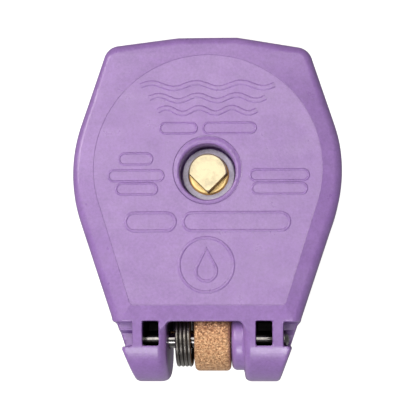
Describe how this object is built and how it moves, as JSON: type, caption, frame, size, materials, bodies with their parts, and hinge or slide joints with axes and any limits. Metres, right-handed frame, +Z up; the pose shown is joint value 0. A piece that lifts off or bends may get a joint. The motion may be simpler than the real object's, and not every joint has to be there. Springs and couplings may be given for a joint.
{
  "type": "quick coupling valve",
  "caption": "Irrigation quick coupling valve: cast body with a sprung poppet, a throat for a coupler key and a hinged, spring-closed, lockable plastic cover.",
  "frame": {"origin": "centre of the inlet mouth, the lowest face of the valve", "axes": "+Z up the valve and lock axis, +Y away from the hinge, +X along the hinge pin"},
  "size_m": [0.0766, 0.0977, 0.1283],
  "materials": {
    "cast_bronze": "as-cast, sandy",
    "brass": "turned",
    "steel": "turned",
    "spring_steel": "drawn wire",
    "purple_plastic": "fine matt, moulded",
    "rubber": "matt"
  },
  "bodies": {
    "valve_body": {"lower_body": "cast_bronze", "upper_body": "cast_bronze", "body_oring": "rubber", "throat_seal": "rubber", "stem_guide": "brass"},
    "poppet_group": {"poppet": "brass", "poppet_washer": "rubber", "poppet_clamp": "brass", "poppet_screw": "steel", "poppet_spring": "spring_steel"},
    "cover_group": {"cover": "purple_plastic", "hinge_pin": "steel", "hinge_spring": "spring_steel", "lock_bush": "steel", "lock_nut": "brass"},
    "lock_group": {"lock_spindle": "brass", "lock_oring": "rubber", "wave_washer": "spring_steel", "thrust_washer": "steel", "latch_bar": "steel", "latch_screw": "steel"}
  },
  "joints": [
    {"name": "cover_hinge", "type": "hinge", "parent": "valve_body", "child": "cover_group", "pos_m": [0, -0.047, 0.1155], "axis": [1, 0, 0], "range_deg": [0, 120], "stiffness_Nm_per_rad": 0.06, "springref_deg": -45.84, "deforming": ["hinge_spring"]},
    {"name": "lock_turn", "type": "hinge", "parent": "cover_group", "child": "lock_group", "pos_m": [0, 0, 0.118], "axis": [0, 0, 1], "range_deg": [0, 90]},
    {"name": "poppet_slide", "type": "slide", "parent": "valve_body", "child": "poppet_group", "axis": [0, 0, 1], "range_m": [-0.008, 0], "stiffness_N_per_m": 1500, "springref_m": 0.01, "deforming": ["poppet_spring"]}
  ]
}
